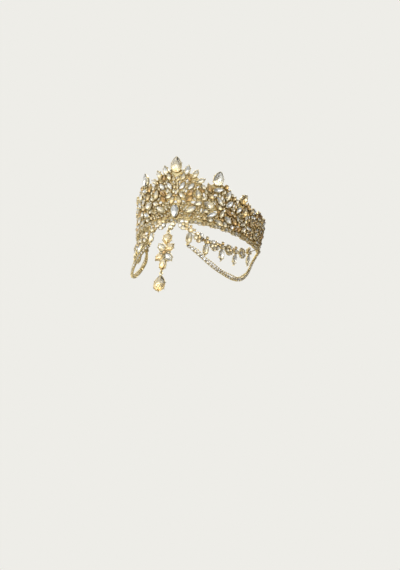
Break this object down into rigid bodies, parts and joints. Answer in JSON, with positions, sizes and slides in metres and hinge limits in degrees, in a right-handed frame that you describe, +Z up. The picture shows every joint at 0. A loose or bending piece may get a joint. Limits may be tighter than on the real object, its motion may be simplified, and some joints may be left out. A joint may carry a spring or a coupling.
{
  "type": "bridal crown",
  "caption": "Open oval gold crown of pierced metal set with clear cut stones, with side garlands, swag chains and a jointed forehead pendant.",
  "frame": {"origin": "middle of the head opening, in the plane of the rim", "axes": "+Z up along the crown, -Y towards the front of the head, +X to the wearer's left"},
  "size_m": [0.1584, 0.1223, 0.1605],
  "materials": {
    "gold": "polished gold plate, slightly uneven",
    "crystal": "clear and champagne cut glass, foiled behind"
  },
  "bodies": {
    "crown": {"centre_stone": "crystal", "cheek_leaf_left": "crystal", "cheek_leaf_right": "crystal", "cheek_pear_left": "crystal", "cheek_pear_right": "crystal", "crest_pear": "crystal", "crest_side_left": "crystal", "crest_side_right": "crystal", "crown_frame": "gold", "fan_inner_left": "crystal", "fan_inner_right": "crystal", "fan_middle_left": "crystal", "fan_middle_right": "crystal", "fan_outer_left": "crystal", "fan_outer_right": "crystal", "fan_root_left": "crystal", "fan_root_right": "crystal", "flower_back_left": "crystal", "flower_back_right": "crystal", "flower_front_left": "crystal", "flower_front_right": "crystal", "flower_top_left": "crystal", "flower_top_right": "crystal", "front_leaf_left": "crystal", "front_leaf_right": "crystal", "garland_left": "gold", "garland_right": "gold", "pendant_links": "gold", "rim_leaf_left": "crystal", "rim_leaf_right": "crystal", "rim_petal_left": "crystal", "rim_petal_right": "crystal", "shoulder_left": "crystal", "shoulder_right": "crystal", "side_drop_left": "crystal", "side_drop_right": "crystal", "side_leaf_left": "crystal", "side_leaf_right": "crystal", "side_pear_left": "crystal", "side_pear_right": "crystal", "swag_chain_left": "gold", "swag_chain_right": "gold", "under_pear_left": "crystal", "under_pear_right": "crystal"},
    "pendant": {"pendant_setting": "gold", "pendant_pear": "crystal", "pendant_navette": "crystal"},
    "drop": {"drop_setting": "gold", "drop_pear": "crystal"}
  },
  "joints": [
    {"name": "pendant_swing", "type": "hinge", "parent": "crown", "child": "pendant", "pos_m": [0, -0.098, -0.018], "axis": [-1, 0, 0], "range_deg": [-30, 75]},
    {"name": "drop_swing", "type": "hinge", "parent": "pendant", "child": "drop", "pos_m": [0, -0.098, -0.0679], "axis": [-1, 0, 0], "range_deg": [-60, 60]}
  ]
}
